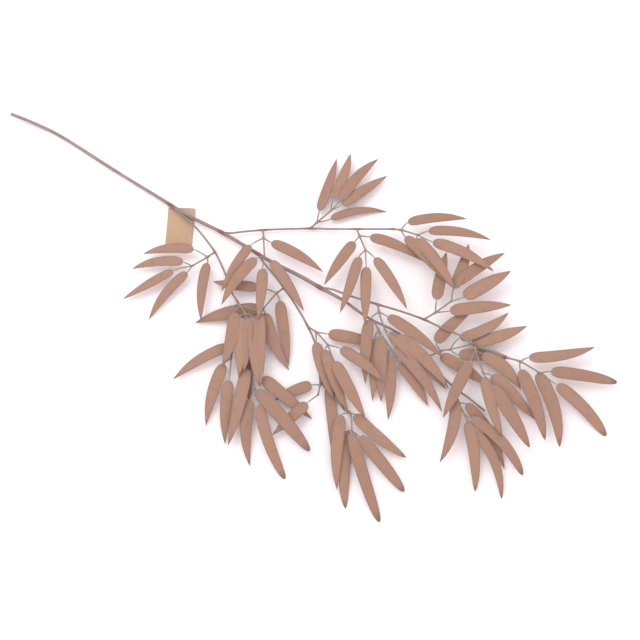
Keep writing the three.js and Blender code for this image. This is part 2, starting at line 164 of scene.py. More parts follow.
# Where one colour gives way to another, and how much of it shows at most
BLADE_SHADE_SHARE = 0.3  # on the darkest blade
BLADE_EDGE_START = 0.7  # from the blade's middle line to its edge
BLADE_EDGE_SHARE = 0.5
BLADE_TIP_START = 0.86  # of the blade's length
BLADE_TIP_SHARE = 0.75
BLADE_WOOD_REACH = 0.03  # how far the stalk's colour runs into a blade, as a share of its length
TWIG_HUB_SHARE = 0.45
STEM_BROWN_START = 0.25  # of the stem's length
STEM_BROWN_END = 0.45
STEM_BROWN_SHARE = 0.35
STEM_KNOT_SHARE = 0.8
SIDE_BRANCH_GREYNESS = 0.65
GREEN_SPOT_REACH = 8 * MM
CARD_STRIP_EDGE = 0.04  # width of the change at the fold, as a share of the card's width
CARD_FOLD_SHADE_REACH = 0.03  # half width of the line of painted shade along the fold, as such a share
CARD_FOLD_SHADE_SHARE = 0.35
# Painted shade over the card's upper end, beyond the stem: where it starts, and how much of it shows
CARD_UPPER_SHADE_START = 0.8  # of the card's length
CARD_UPPER_SHADE_SHARE = 0.5


class Grain(NamedTuple):
    """Cloudy noise."""

    clouds: float  # a metre
    detail: float
    stretch: tuple = (1, 1, 1)  # how many times closer the clouds lie along X, Y and Z


class Patch(NamedTuple):
    """A colour that shows where its noise is high."""

    colour: tuple
    share: float  # of the colour under it that it hides at most
    grain: Grain
    low: float  # noise at which it starts to show
    high: float  # noise at which it shows most


class Touch(NamedTuple):
    """How a surface feels."""

    roughness: float
    roughening: float  # by the grain
    relief: float  # metres


# Patches of colour, from the lowest to the one on top
LEAF_PATCHES = (
    Patch(WARM_BROWN, 1, Grain(55, 2), 0.4, 0.6),
    Patch(OLIVE_BROWN, 0.7, Grain(90, 3), 0.52, 0.66),
    Patch(ROSE_BROWN, 0.6, Grain(130, 1), 0.6, 0.72),
    Patch(ORANGE_BROWN, 0.6, Grain(75, 4), 0.58, 0.7),
)
TWIG_PATCHES = (Patch(TWIG_PINK, 1, Grain(160, 2), 0.4, 0.6),)
STEM_PATCHES = (
    Patch(STEM_GREY, 1, Grain(60, 3), 0.4, 0.6),
    Patch(STEM_GREEN, 0.8, Grain(26, 2), 0.6, 0.72),
    Patch(STEM_RUST, 0.4, Grain(40, 3, (1, 12, 12)), 0.54, 0.7),
)
CARD_FIBRES = Grain(900, 3, (1, 0.25, 1))
CARD_PATCHES = (
    Patch(CARD_FIBRE, 0.5, CARD_FIBRES, 0.56, 0.7),
    Patch(CARD_FIBRE, 0.2, Grain(70, 2), 0.45, 0.7),
)

# Grain and feel of the surfaces
LEAF_GRAIN = Grain(1400, 3)
LEAF_TOUCH = Touch(0.74, 0.2, 0.2 * MM)
LEAF_GRAIN_HEIGHT = 0.8  # of the relief
VEIN_HEIGHT = 0.15
VEIN_TURN = 42  # radians of the veins' wave, from a blade's middle line to its edge
STEM_GRAIN = Grain(700, 3, (0.25, 1, 1))
STEM_TOUCH = Touch(0.6, 0.2, 0.4 * MM)
CARD_TOUCH = Touch(0.8, 0.15, 0.15 * MM)
RELIEF_STRENGTH = 0.6
SHEEN = 0.25  # 0.5 for a common gloss


class Leaf(NamedTuple):
    fork: int  # fork of the twig that it grows from
    base: tuple  # of the blade: across and down in the picture, then height
    tip: tuple
    bow: float  # sideways, in millimetres; above 0 to the blade's left, seen from its base
    bluntness: float = 0
    width_share: float = 1


class Spray(NamedTuple):
    leaf_width: float  # millimetres
    root: tuple
    forks: tuple
    leaves: tuple


# Paths of the stems, from root to end: across and down in the picture, then height
MAIN_STEM = (
    (11, 114, 13), (30, 121.5, 7), (50, 130.5, 2.4), (62, 137, 2.1), (80, 148, 2.7), (100, 161, 4),
    (120, 173.7, 5), (140, 186, 5.8), (160, 198.2, 6.4), (171, 205.3, 6.7), (190, 216.5, 7.4),
    (205, 224, 8.5), (222, 232.5, 10), (250, 249, 12), (258, 254, 12.5), (275, 263.6, 13),
    (300, 276, 14.5), (320, 287.5, 16), (330, 293, 17), (345, 301.5, 17.5), (360, 312.5, 17.5),
    (374, 321, 17.5), (392, 329.5, 17), (408, 340, 16), (426, 358, 15), (441, 375, 14),
    (455, 388, 12.5), (470, 399, 11), (485, 411, 9),
)
LOWER_LEFT_BRANCH = (
    (171, 205.3, 6.7), (180, 213, 7.3), (188, 220, 8.5), (195, 226.5, 10), (204, 237, 11.5),
    (210, 245, 12), (215, 252, 12.5), (221, 264, 13), (226, 276, 14.5), (232, 293, 16), (238, 303, 17),
    (241, 316, 16), (240, 330, 14), (244, 345, 13), (249, 358, 12), (252, 368, 12),
)
UPPER_BRANCH = (
    (222, 232.5, 10), (231, 233, 9.5), (245, 231.5, 8.5), (263, 230, 7.5), (285, 229, 6),
    (310, 228.5, 6), (335, 229, 8), (357, 229, 11), (375, 229, 15), (393, 229, 19),
)
RIGHT_BRANCH = (
    (320, 287.5, 16), (331, 289, 19), (341, 292.5, 20), (352, 296.5, 21.5), (365, 300.5, 22.5),
    (378, 304.5, 22.5), (400, 311, 21.5), (424, 319.5, 21), (440, 327, 22.5), (458, 334.5, 24),
    (475, 345.5, 24.5), (491, 350.5, 23), (506, 357.5, 21),
)
LOWER_MIDDLE_BRANCH = (
    (258, 254, 12.5), (264, 263, 11.5), (275, 276, 11.5), (284, 288, 12), (293, 301, 12),
    (301, 314, 12), (308, 327, 11), (315, 343, 9), (319, 361, 8), (320.5, 380, 8), (326, 389, 8),
    (335, 398, 8), (344, 409, 8.5),
)
STEMS = {
    "main_stem": (MAIN_STEM, STEM_WIDTHS),
    "lower_left_branch": (LOWER_LEFT_BRANCH, BRANCH_WIDTHS),
    "upper_branch": (UPPER_BRANCH, BRANCH_WIDTHS),
    "right_branch": (RIGHT_BRANCH, RIGHT_BRANCH_WIDTHS),
    "lower_middle_branch": (LOWER_MIDDLE_BRANCH, BRANCH_WIDTHS),
}

SPRAYS = {
    "spray_by_tag": Spray(16, (215, 252, 12.5), ((207.5, 257, 14), (192, 266, 15.5)), (
        Leaf(0, (193.5, 249.5, 17), (143, 254, 10), -4),
        Leaf(0, (207.5, 263, 15), (201, 321, 13), -3.5),
        Leaf(1, (183, 262, 16), (132, 269, 8), -5),
        Leaf(1, (187, 272.5, 14), (149, 319.5, 0.25), -4),
        Leaf(1, (173, 270.5, 14), (123, 299, 6), 1),
    )),
    "spray_over_stem": Spray(17.5, (263, 230, 7.5), ((263.5, 238, 14), (264.5, 257, 24)), (
        Leaf(0, (250.5, 245.5, 21), (221.5, 291.5, 23), -2, 0, 0.9),
        Leaf(0, (271.5, 242.5, 19), (323, 272, 20), 2.5),
        Leaf(1, (256, 258.5, 26), (221.5, 305, 24), -4, 0, 1.03),
        Leaf(1, (271.5, 261, 26), (304, 311, 21), 0.5),
        Leaf(1, (262.5, 268.5, 27), (258, 320, 26), 1.5, 0, 1.03),
    )),
    "spray_top": Spray(18, (310, 228.5, 6), ((317, 222.5, 8), (331, 210.5, 12)), (
        Leaf(0, (319.5, 210.5, 11), (336.8, 158.5, 6), -1.5, 0, 0.92),
        Leaf(0, (331, 219, 9), (387, 212, 0.25), 6.5, 0, 0.75),
        Leaf(1, (333.5, 198, 15), (350.5, 153.5, 9), -3),
        Leaf(1, (342.5, 204.5, 14), (387, 176, 5), -0.5, 0, 1.08),
        Leaf(1, (341, 199.5, 16), (378.5, 159, 8), 4),
    )),
    "spray_upper_middle": Spray(17.5, (357, 229, 11), ((359.5, 236, 17), (365.5, 250, 25)), (
        Leaf(0, (354.5, 242, 22), (324, 285, 22), -0.5),
        Leaf(0, (370, 237, 22), (423, 261, 18), 4.5),
        Leaf(1, (359, 257, 27), (340, 313, 25), 1.5),
        Leaf(1, (375, 258, 27), (407, 309, 27), 1.5, 0, 0.97),
        Leaf(1, (366, 267, 28), (365, 325, 25), 0),
    )),
    "spray_upper_right": Spray(18, (393, 229, 19), ((401, 230, 22), (418, 235, 28)), (
        Leaf(0, (408, 222.5, 25), (467, 219, 26), 3.5, 0, 0.9),
        Leaf(0, (405.5, 237, 25), (453, 288, 34), 1.5, 0, 1.05),
        Leaf(1, (428.5, 231, 32), (491, 240, 34), 4, 0, 0.88),
        Leaf(1, (417, 239, 30), (455, 290, 38), 2, 0, 1.05),
        Leaf(1, (433, 242, 33), (494, 271.5, 35), 4.5, 0, 1.03),
    )),
    "spray_right_branch": Spray(18.5, (424, 319.5, 21), ((435.5, 312.5, 22), (451.5, 301, 25)), (
        Leaf(0, (436.5, 299.5, 24), (446.5, 252, 24), 1, 0, 1.05),
        Leaf(0, (450, 311, 24), (511.5, 305, 20), 0, 0, 1.08),
        Leaf(1, (454, 288, 27), (468.5, 244, 24), -2.5),
        Leaf(1, (464, 297, 26), (511, 271, 22), -0.5, 0, 1.3),
        Leaf(1, (456, 283.5, 28), (505, 253, 24), 2, 0, 1.03),
    )),
    "spray_behind_right_branch": Spray(18.5, (426, 358, 15), ((441, 351, 15), (450, 349.5, 16)), (
        Leaf(0, (436.5, 342.5, 16), (471, 312, 14), 4.5, 0, 1.05),
        Leaf(1, (460, 338, 17), (508.5, 312.5, 14), -7),
        Leaf(1, (472, 344, 17), (527, 326, 13), -3, 0, 1.15),
        Leaf(1, (459, 355, 15), (508, 359, 10), 2),
        Leaf(0, (440.5, 355.5, 14), (490, 387, 9), 1, 0, 1.05),
    )),
    "spray_over_end": Spray(18.5, (475, 345.5, 24.5), ((475.5, 350, 24), (483, 373, 26)), (
        Leaf(0, (470, 362, 27), (443, 418, 24), -0.5, 0, 1.05),
        Leaf(0, (482.5, 354.5, 20), (521, 389.5, 13), 6, 0, 1.2),
        Leaf(1, (485, 377, 27), (502, 436, 24), -3.5, 0.5),
        Leaf(1, (491.5, 375.5, 22), (535.5, 420, 10), 1, 0, 1.08),
        Leaf(1, (492.5, 386, 28), (529.5, 447.5, 22), 0.5, 0.5, 1.15),
    )),
    "spray_right_end": Spray(19.5, (506, 357.5, 21), ((520, 361.5, 21), (540, 373, 22)), (
        Leaf(0, (529, 357.5, 22), (595, 347, 17), -6, 0, 0.97),
        Leaf(0, (520.5, 370, 22), (545, 440, 16), 3, 0.5, 1.03),
        Leaf(1, (551, 371.5, 22), (617, 382.5, 12), 0.5, 1, 0.95),
        Leaf(1, (537.5, 373, 21), (559.5, 447, 8), 7, 0.5, 1.05),
        Leaf(1, (557, 385, 21), (606, 436, 0.25), 3.5, 1),
    )),
    "spray_stem_end": Spray(18.5, (455, 388, 12.5), ((459, 403, 15), (465.5, 416, 17)), (
        Leaf(0, (456, 400.5, 18), (439.5, 463, 14), 6, 0, 0.97),
        Leaf(0, (466, 404, 15), (504.5, 469.5, 4), 7, 0, 0.95),
        Leaf(1, (467.5, 421.5, 17), (475, 491.5, 3), 4, 0.5, 0.95),
        Leaf(1, (471, 418, 19), (522.5, 475, 12), 9, 1, 0.93),
        Leaf(1, (475, 431, 17), (501.5, 499, 0.25), 9.5, 0.5, 0.8),
    )),
    "spray_middle": Spray(18.5, (378, 304.5, 22.5), ((379, 312, 22), (385, 330, 22.5)), (
        Leaf(0, (369.5, 320, 22), (365.5, 384, 14), -3),
        Leaf(0, (388, 316.5, 23), (443, 357.5, 22), 2),
        Leaf(1, (397, 336, 23.5), (449, 389, 19), 4, 0, 1.12),
        Leaf(1, (390, 332.5, 21.5), (447, 390, 13), -1),
        Leaf(1, (394.5, 346.5, 22), (442, 412, 14), 5.5),
    )),
    "spray_middle_lower": Spray(18, (374, 321, 17), ((378.5, 329.5, 18), (391, 349.5, 18)), (
        Leaf(0, (379.5, 336.5, 17), (381, 402, 7), 0, 0, 1.22),
        Leaf(0, (374.5, 339, 15), (372.5, 401, 5), 1, 0, 0.95),
        Leaf(1, (388.5, 354.5, 16), (388, 420, 4), 3),
        Leaf(1, (400, 363, 15), (428, 406, 7), 2),
    )),
    "spray_beside_pile": Spray(18.5, (284, 288, 12), ((277, 293, 12), (263, 309, 14)), (
        Leaf(0, (258, 287, 10), (213, 281.5, 8), 2.5, 0, 1.03),
        Leaf(0, (279.5, 301, 12), (288.5, 366, 4), 0),
        Leaf(1, (261, 309, 10), (195, 323, 4), -3, 0, 1.2),
        Leaf(1, (265, 313, 14), (289, 370, 5), -5.5, 0, 1.08),
        Leaf(1, (260.5, 316.5, 17), (255, 374, 10), 0),
    )),
    "spray_lower_middle": Spray(18, (308, 327, 11), ((316, 332, 13), (328, 345, 16)), (
        Leaf(0, (328.5, 334, 13), (383, 345.5, 6), 0.5, 0, 1.07),
        Leaf(0, (316.5, 342.5, 16), (334, 400, 13), -3, 0, 1.05),
        Leaf(1, (340.5, 348.5, 20), (384, 381.5, 22), 2),
        Leaf(1, (325, 350, 18), (348.5, 413, 14), -3, 0, 1.03),
        Leaf(1, (334.5, 361.5, 20), (365.5, 418.5, 18), -1, 0, 1.15),
    )),
    "spray_across": Spray(17.5, (320.5, 380, 8), ((320, 385, 10), (318, 395, 14)), (
        Leaf(0, (311.5, 385, 9), (275, 400, 5), -1, 0, 1.03),
        Leaf(1, (307, 403, 18), (272.5, 435, 8), 0.5, 0, 1.05),
        Leaf(0, (328.5, 385, 3), (336, 471, 2), 1, 0.3, 0.95),
    )),
    "spray_lower_end": Spray(19, (344, 409, 8.5), ((350, 413, 10), (352, 431, 13)), (
        Leaf(0, (354.5, 414.5, 12), (406, 457.5, 6), -4, 0.5),
        Leaf(0, (341.5, 415, 14), (337, 490, 10), -4),
        Leaf(1, (359.5, 436.5, 14), (404, 491.5, 4), 0, 1),
        Leaf(1, (348, 431, 8), (345.5, 508.5, 0.25), -4, 0.7),
        Leaf(1, (351.5, 432.5, 14), (379.5, 522, 0.25), -3, 1),
    )),
    "spray_pile_top": Spray(18, (238, 303, 17), ((240, 306, 21), (245, 313, 25)), (
        Leaf(0, (234.5, 313, 22), (222, 366, 20), 5, 0, 1.2),
        Leaf(0, (259.5, 314, 23), (260.5, 388, 20), 0, 0, 1.05),
        Leaf(1, (239.5, 318, 24), (238.5, 378, 20), 2.5, 0, 1.1),
        Leaf(1, (254, 318.5, 25), (259, 387, 21), -3, 0, 1.05),
        Leaf(1, (246.5, 319, 26), (244, 372, 22), 1, 0, 1.15),
    )),
    "spray_pile_left": Spray(18, (240, 330, 14), ((234, 345, 13), (231, 358, 13)), (
        Leaf(0, (228.5, 346, 13), (173, 379.5, 4), -3.5, 0, 0.95),
        Leaf(1, (224, 364, 13), (206, 426, 4), -3.5, 0, 1.03),
        Leaf(1, (229, 380.5, 12), (225, 444, 3), -2),
        Leaf(0, (243, 356, 7), (250, 402, 4), 0),
    )),
    "spray_pile_end": Spray(18.5, (252, 368, 12), ((252, 374, 13), (254, 389, 15)), (
        Leaf(0, (246.5, 369, 17), (228, 446, 10), 2, 0, 1.1),
        Leaf(0, (262.5, 377.5, 14), (312, 419, 5), -1, 0, 1.12),
        Leaf(1, (250, 399.5, 15), (250, 466, 0.25), -6),
        Leaf(0, (256.5, 390.5, 16), (309.5, 451, 12), 1, 1, 1.15),
        Leaf(1, (259.5, 404.5, 17), (285, 479, 0.25), -5.5, 1, 0.97),
    )),
}

# Where the main stem and the branch that starts there are greenest
GREEN_SPOT = (171, 205.3, 6.7)

# Place of the tag: the middles of its lower and upper edges
TAG_LOWER_EDGE = (178.6, 246, 0.35)
TAG_UPPER_EDGE = (182, 207, 3.7)

UP = Vector((0, 0, 1))
PICTURE_RIGHT = Vector((math.cos(CAMERA_AZIMUTH), math.sin(CAMERA_AZIMUTH), 0))
CAMERA_BACK = Vector((
    math.sin(CAMERA_AZIMUTH) * math.cos(CAMERA_ELEVATION),
    -math.cos(CAMERA_AZIMUTH) * math.cos(CAMERA_ELEVATION),
    math.sin(CAMERA_ELEVATION),
))
PICTURE_UP = CAMERA_BACK.cross(PICTURE_RIGHT)
LENS = AIM + CAMERA_BACK * CAMERA_DISTANCE

chance = random.Random(CHANCE_SEED)


def place(spot):
    """The point seen at a place of the picture, at a height above the surface."""
    across, down, height = spot
    ray = -CAMERA_BACK
    ray = ray + PICTURE_RIGHT * ((across - PICTURE_CENTRE) / LENS_LENGTH)
    ray = ray + PICTURE_UP * ((PICTURE_CENTRE - down) / LENS_LENGTH)
    return LENS + ray * ((height * MM - LENS.z) / ray.z)


class Bend:
    """A curve from its start to its end, with one bend, which comes halfway to its middle point."""

    def __init__(self, start, middle, end):
        self.start = start
        self.middle = middle
        self.end = end

    def point(self, share):
        first = self.start.lerp(self.middle, share)
        return first.lerp(self.middle.lerp(self.end, share), share)

    def along(self, share):
        return (self.middle - self.start).lerp(self.end - self.middle, share).normalized()


def smooth_path(points, steps):
    """Points along the smooth curve through the given ones, with as many steps between each two."""
    beyond = [2 * points[0] - points[1], *points, 2 * points[-1] - points[-2]]
    path = []
    for before, start, end, after in zip(beyond, beyond[1:], beyond[2:], beyond[3:]):
        lead = math.sqrt((start - before).length)
        span = math.sqrt((end - start).length)
        rest = math.sqrt((after - end).length)
        leaving = (start - before) / lead - (end - before) / (lead + span) + (end - start) / span
        arriving = (end - start) / span - (after - start) / (span + rest) + (after - end) / rest
        first_handle = start + leaving * span / 3
        second_handle = end - arriving * span / 3
        path += interpolate_bezier(start, first_handle, second_handle, end, steps + 1)[:-1]
    return [*path, points[-1]]


def shares_along(path):
    """How far along a path each of its points is, as a share of its length."""
    reached = [0]
    for before, after in zip(path, path[1:]):
        reached.append(reached[-1] + (after - before).length)
    return [reach / reached[-1] for reach in reached]


def width_at(widths, share):
    """The width at a share of the length, from a table of shares and widths."""
    for (start, start_width), (end, end_width) in zip(widths, widths[1:]):
        if share <= end:
            break
    return start_width + (end_width - start_width) * (share - start) / (end - start)


def bell(distance, reach):
    """1 at no distance, falling smoothly to nearly 0 at twice the reach."""
    return math.exp(-((distance / reach) ** 2))


def ring_place(centre, along, width):
    """What puts a circle of diameter 1 square across a stem, as wide as the stem is there."""
    side = UP.cross(along).normalized()
    turn = Matrix((side, along.cross(side), along)).transposed()
    return Matrix.LocRotScale(centre, turn, Vector((width, width, width)))


def add_tube(bm, path, widths, sides):
    """A closed round tube along a path. Returns its vertices, ring by ring."""
    directions = [after - before for before, after in zip([path[0], *path], [*path[1:], path[-1]])]
    rings = [ring_place(*ring) for ring in zip(path, (way.normalized() for way in directions), widths)]
    circle = bmesh.ops.create_circle(bm, cap_ends=True, segments=sides, radius=0.5, matrix=rings[0])
    loops = [circle["verts"]]
    edges = list({edge for vertex in circle["verts"] for edge in vertex.link_edges})
    for before, ring in zip(rings, rings[1:]):
        made = bmesh.ops.extrude_edge_only(bm, edges=edges)["geom"]
        vertices = [item for item in made if isinstance(item, bmesh.types.BMVert)]
        bmesh.ops.transform(bm, matrix=ring @ before.inverted(), verts=vertices)
        edges = [
            item for item in made
            if isinstance(item, bmesh.types.BMEdge) and all(vertex in vertices for vertex in item.verts)
        ]
        loops.append(vertices)
    bmesh.ops.edgeloop_fill(bm, edges=edges)
    return loops


def add_slab(bm, faces_along_x, faces_along_y):
    """A closed slab, one unit long, wide and thick, around the origin, to be bent into shape."""
    bmesh.ops.create_grid(bm, x_segments=faces_along_x, y_segments=faces_along_y, size=0.5)
    bmesh.ops.translate(bm, vec=UP / 2, verts=bm.verts)
    made = bmesh.ops.extrude_face_region(bm, geom=bm.faces[:])["geom"]
    lower = [item for item in made if isinstance(item, bmesh.types.BMVert)]
    bmesh.ops.translate(bm, vec=-UP, verts=lower)


def mesh_of(name, bm):
    """A mesh of what the bmesh holds, which is freed."""
    mesh = bpy.data.meshes.new(name)
    bm.to_mesh(mesh)
    bm.free()
    return mesh


def add_object(name, data):
    """A new object in the scene."""
    made = bpy.data.objects.new(name, data)
    bpy.context.collection.objects.link(made)
    return made


def unit_blade():
    """The slab that every blade is bent from, its rows along X."""
    bm = bmesh.new()
    add_slab(bm, BLADE_ROWS, BLADE_COLUMNS)
    return mesh_of("unit_blade", bm)


def blade_outline(share, bluntness):
    """Width of a blade at a share of its length, as a share of its full width."""
    rise = 1 - min(share / BLADE_BASE_SHARE, 1)
    base = (1 - rise ** BLADE_BASE_SQUARENESS) ** (1 / BLADE_BASE_SQUARENESS)
    base = max(base, BLADE_BASE_WIDTH)
    taper = 1 - max(share - BLADE_BASE_SHARE, 0) / (1 - BLADE_BASE_SHARE)
    fall = 1 - (1 - taper) ** BLADE_TAPER
    return max(base * fall ** (SHARP_TIP + (BLUNT_TIP - SHARP_TIP) * bluntness), BLADE_TIP_WIDTH)


def marked_mesh(*marks):
    """A bmesh that holds a number of each of these names at every vertex, for its finish."""
    bm = bmesh.new()
    for name in marks:
        bm.verts.layers.float.new(name)
    return bm


def mark(bm, vertices, **values):
    """Sets numbers for the finish at these vertices."""
    for name, value in values.items():
        layer = bm.verts.layers.float[name]
        for vertex in vertices:
            vertex[layer] = value


def blade_curve(leaf):
    """The middle line of a blade, arched upwards and bowed sideways."""
    start = place(leaf.base)
    end = place(leaf.tip)
    left = UP.cross(end - start).normalized()
    bow = left * (leaf.bow * MM)
    arch = UP * (LEAF_ARCH * (end - start).length)
    # The middle point lies twice as far out as the curve comes.
    return Bend(start, (start + end) / 2 + bow * 2 + arch * 2, end)


def add_blade(bm, blade, leaf, leaf_width):
    """One blade, bent out of the unit slab."""
    first = len(bm.verts)
    bm.from_mesh(blade)
    bm.verts.ensure_lookup_table()
    curve = blade_curve(leaf)
    roll = math.copysign(LEAF_ROLL, leaf.bow)
    twist = chance.uniform(-BLADE_TWIST, BLADE_TWIST)
    wave = chance.uniform(-BLADE_WAVE, BLADE_WAVE)
    waves = chance.uniform(FEWEST_WAVES, MOST_WAVES)
    shade = chance.random()
    full_width = leaf_width * leaf.width_share * MM
    for vertex in bm.verts[first:]:
        # The slab's even rows come closer together towards the blade's base and tip.
        share = (1 - math.cos(math.pi * (vertex.co.x + 0.5))) / 2
        across = 2 * vertex.co.y
        half = full_width / 2 * blade_outline(share, leaf.bluntness)
        along = curve.along(share)
        left = UP.cross(along).normalized()
        left.rotate(Quaternion(along, roll + twist * (share - 0.5)))
        rise = vertex.co.z * BLADE_THICKNESS
        rise -= half * BLADE_DOME * across ** 2
        rise += half * wave * across * math.sin(2 * math.pi * waves * share)
        wood = bell(share, BLADE_WOOD_REACH)
        mark(bm, [vertex], along=share, across=across, shade=shade, wood=wood)
        vertex.co = curve.point(share) + left * (across * half) + along.cross(left) * rise


def add_stalk(bm, leaf, forks):
    """The stalk of a leaf, from the twig's fork into the underside of its blade."""
    curve = blade_curve(leaf)
    fork = place(forks[leaf.fork])
    base = curve.point(0)
    bend = Bend(fork, base - curve.along(0) * (STALK_BEND * (base - fork).length), base)
    path = [bend.point(step / STALK_STEPS) for step in range(STALK_STEPS)]
    path += [curve.point(STALK_SINK * step / SINK_STEPS) for step in range(SINK_STEPS + 1)]
    thinning = LEAF_STALK_WIDTH - STALK_END_WIDTH
    widths = [LEAF_STALK_WIDTH - thinning * share ** 2 for share in shares_along(path)]
    for loop in add_tube(bm, path, widths, STALK_SIDES):
        mark(bm, loop, wood=1)


def add_twig(bm, spray):
    """The twig of a spray, a little thicker at its forks."""
    joints = [place(spot) for spot in (spray.root, *spray.forks)]
    path = smooth_path(joints, TWIG_STEPS)
    knots = [bell(min((point - joint).length for joint in joints), TWIG_KNOT_REACH) for point in path]
    widths = [
        width_at(TWIG_WIDTHS, share) * (1 + TWIG_KNOT_SWELL * knot)
        for share, knot in zip(shares_along(path), knots)
    ]
    for knot, loop in zip(knots, add_tube(bm, path, widths, TWIG_SIDES)):
        mark(bm, loop, wood=1, knot=knot)


def finish_piece(node, bm, material):
    """Makes the mesh a piece that stands for its node. Nothing of it lies below the surface."""
    for vertex in bm.verts:
        vertex.co.z = max(vertex.co.z, 0)
    bmesh.ops.recalc_face_normals(bm, faces=bm.faces)
    mesh = mesh_of(f"fine_{node}", bm)
    mesh.shade_smooth()
    mesh.set_sharp_from_angle(angle=SHARP_ANGLE)
    mesh.materials.append(material)
    piece = add_object(mesh.name, mesh)
    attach(piece, "root")
    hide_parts(node)


def make_spray(node, spray, blade, material):
    """A forked twig with its leaves."""
    bm = marked_mesh("along", "across", "shade", "wood", "knot")
    add_twig(bm, spray)
    for leaf in spray.leaves:
        add_stalk(bm, leaf, spray.forks)
        add_blade(bm, blade, leaf, spray.leaf_width)
    finish_piece(node, bm, material)


def carried_by(node):
    """Where the twigs and branches that a stem carries grow from it."""
    places = STEMS[node][0]
    roots = [other[0][0] for other in STEMS.values() if other[0][0] in places[1:]]
    roots += [spray.root for spray in SPRAYS.values() if spray.root in places]
    return [place(root) for root in roots]


def make_stem(node, material):
    """The main stem or a side branch, uneven, and swollen where something grows from it."""
    spots, stem_widths = STEMS[node]
    path = smooth_path([place(spot) for spot in spots], STEM_STEPS)
    knots = carried_by(node)
    greyness = 0 if node == "main_stem" else SIDE_BRANCH_GREYNESS
    green_spot = place(GREEN_SPOT)
    shares = shares_along(path)
    widths = []
    swells = []
    for step, (point, share) in enumerate(zip(path, shares)):
        swell = max((bell((point - knot).length, STEM_KNOT_REACH) for knot in knots), default=0)
        uneven = math.sin(step * STEM_SHORT_WAVE) * math.sin(step * STEM_LONG_WAVE + STEM_LONG_WAVE_START)
        widths.append(width_at(stem_widths, share) * (1 + STEM_KNOT_SWELL * swell + STEM_UNEVENNESS * uneven))
        swells.append(swell)
    bm = marked_mesh("along", "greenness", "greyness", "knot")
    loops = add_tube(bm, path, widths, STEM_SIDES)
    for point, share, swell, loop in zip(path, shares, swells, loops):
        greenness = bell((point - green_spot).length, GREEN_SPOT_REACH)
        mark(bm, loop, along=share, greenness=greenness, greyness=greyness, knot=swell)
    finish_piece(node, bm, material)


def make_tag(material):
    """The card, folded a little along one line and sagging between its ends."""
    lower = place(TAG_LOWER_EDGE)
    along = (place(TAG_UPPER_EDGE) - lower).normalized()
    across = along.cross(UP).normalized()
    over = across.cross(along)
    bm = marked_mesh("along", "across")
    add_slab(bm, TAG_COLUMNS, TAG_ROWS)
    for vertex in bm.verts:
        right = vertex.co.x + 0.5
        up = vertex.co.y + 0.5
        rise = vertex.co.z * TAG_THICKNESS
        # 1 halfway up, where the card sags most, and 0 at both ends
        sag = 4 * up * (1 - up)
        rise -= sag * TAG_SAG
        rise -= max(right - TAG_CREASE, 0) / (1 - TAG_CREASE) * TAG_FOLD
        mark(bm, [vertex], along=up, across=right)
        offset = across * (vertex.co.x * TAG_WIDTH) + along * (up * TAG_LENGTH) + over * rise
        vertex.co = lower + offset
    finish_piece("tag", bm, material)


class Value:
    """A number in a finish, with Python's arithmetic."""

    def __init__(self, finish, socket):
        self.finish = finish
        self.socket = socket

    def combine(self, operation, one, other):
        return self.finish.node("ShaderNodeMath", {"operation": operation}, {0: one, 1: other})

    def __add__(self, other):
        return self.combine("ADD", self, other)

    def __mul__(self, other):
        return self.combine("MULTIPLY", self, other)

    def __sub__(self, other):
        return self.combine("SUBTRACT", self, other)

    __radd__ = __add__


def linear(colour):
    """A colour of 0 to 255 as the shader's red, green, blue and alpha."""
    return (*Color([part / 255 for part in colour]).from_srgb_to_scene_linear(), 1)


